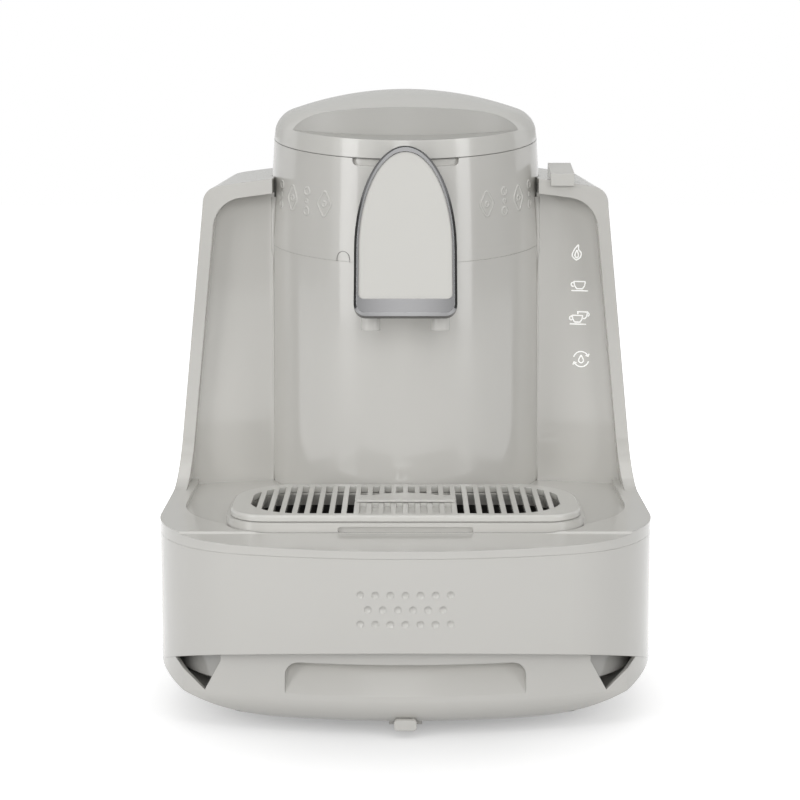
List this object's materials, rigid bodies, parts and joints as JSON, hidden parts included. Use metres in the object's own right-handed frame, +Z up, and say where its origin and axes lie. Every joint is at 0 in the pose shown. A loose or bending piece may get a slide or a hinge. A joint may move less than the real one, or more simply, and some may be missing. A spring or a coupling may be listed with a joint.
{
  "type": "electric turkish coffee maker",
  "caption": "Two-cup turkish coffee maker with a lidded brewing head, arched spout shield, slotted drip tray, rear water tank and winged back.",
  "frame": {"origin": "on the surface it stands on, under the middle of the base outline", "axes": "+Z up, -Y the front with the spout and drip tray, +X the side with the touch icons"},
  "size_m": [0.218, 0.262, 0.2733],
  "materials": {
    "pearl_plastic": "glossy pearl grey",
    "pearl_light": "glossy pearl, a shade lighter",
    "dark_plastic": "matt black",
    "inner_plastic": "matt grey, moulded",
    "tank_plastic": "smoky clear plastic",
    "chrome": "polished",
    "foot_rubber": "matt black",
    "silicone": "soft, off-white",
    "steel": "brushed",
    "brass": "machined",
    "board_green": "solder mask",
    "aluminium": "cast"
  },
  "bodies": {
    "machine": {"base_pan": "pearl_plastic", "pan_screws": "steel", "lower_housing": "pearl_plastic", "cord_gland": "dark_plastic", "foot_front_left": "foot_rubber", "foot_front_right": "foot_rubber", "foot_rear_left": "foot_rubber", "foot_rear_right": "foot_rubber", "upper_housing": "pearl_plastic", "column_shell": "pearl_plastic", "head_ring": "pearl_plastic", "hinge_pin": "steel", "brew_pot": "steel", "pot_bracket": "inner_plastic", "pot_collar": "inner_plastic", "pot_seal": "silicone", "heater_ring": "aluminium", "thermostat": "aluminium", "thermal_fuse": "aluminium", "outlet_valve": "brass", "spout_duct": "silicone", "beak_housing": "pearl_plastic", "outlet_nozzles": "pearl_plastic", "tank_dock": "inner_plastic", "dock_seal": "silicone", "pump": "dark_plastic", "pump_mount": "foot_rubber", "inlet_tube": "silicone", "outlet_tube": "silicone", "power_board": "board_green", "power_parts": "dark_plastic", "control_board": "board_green", "buzzer": "dark_plastic", "touch_board": "board_green", "selector_switch": "dark_plastic"},
    "lid": {"lid_shell": "pearl_light", "lid_liner": "inner_plastic", "lid_gasket": "silicone"},
    "shield": {"shield_bezel": "chrome", "shield_panel": "pearl_light", "shield_carrier": "inner_plastic"},
    "tray": {"drip_tray": "pearl_plastic"},
    "grid": {"drip_grid": "pearl_light"},
    "float": {"float_cap": "pearl_light", "float_bob": "inner_plastic"},
    "tank": {"water_tank": "tank_plastic", "tank_valve": "dark_plastic"},
    "selector": {"size_selector": "pearl_light"},
    "tab": {"front_tab": "pearl_plastic"}
  },
  "joints": [
    {"name": "lid_hinge", "type": "hinge", "parent": "machine", "child": "lid", "pos_m": [0, 0.0959, 0.2565], "axis": [-1, 0, 0], "range_deg": [0, 85]},
    {"name": "shield_pull", "type": "slide", "parent": "machine", "child": "shield", "axis": [0, -1, 0], "range_m": [0, 0.025]},
    {"name": "tray_lift", "type": "slide", "parent": "machine", "child": "tray", "axis": [0, 0, 1], "range_m": [0, 0.035]},
    {"name": "grid_lift", "type": "slide", "parent": "tray", "child": "grid", "axis": [0, 0, 1], "range_m": [0, 0.025]},
    {"name": "float_rise", "type": "slide", "parent": "grid", "child": "float", "axis": [0, 0, 1], "range_m": [0, 0.003]},
    {"name": "tank_pull", "type": "slide", "parent": "machine", "child": "tank", "axis": [0, 1, 0], "range_m": [0, 0.08]},
    {"name": "size_select", "type": "slide", "parent": "machine", "child": "selector", "axis": [0.9912, 0, -0.1321], "range_m": [0, 0.008]},
    {"name": "tab_pull", "type": "slide", "parent": "machine", "child": "tab", "axis": [0, -1, 0], "range_m": [0, 0.006]}
  ]
}
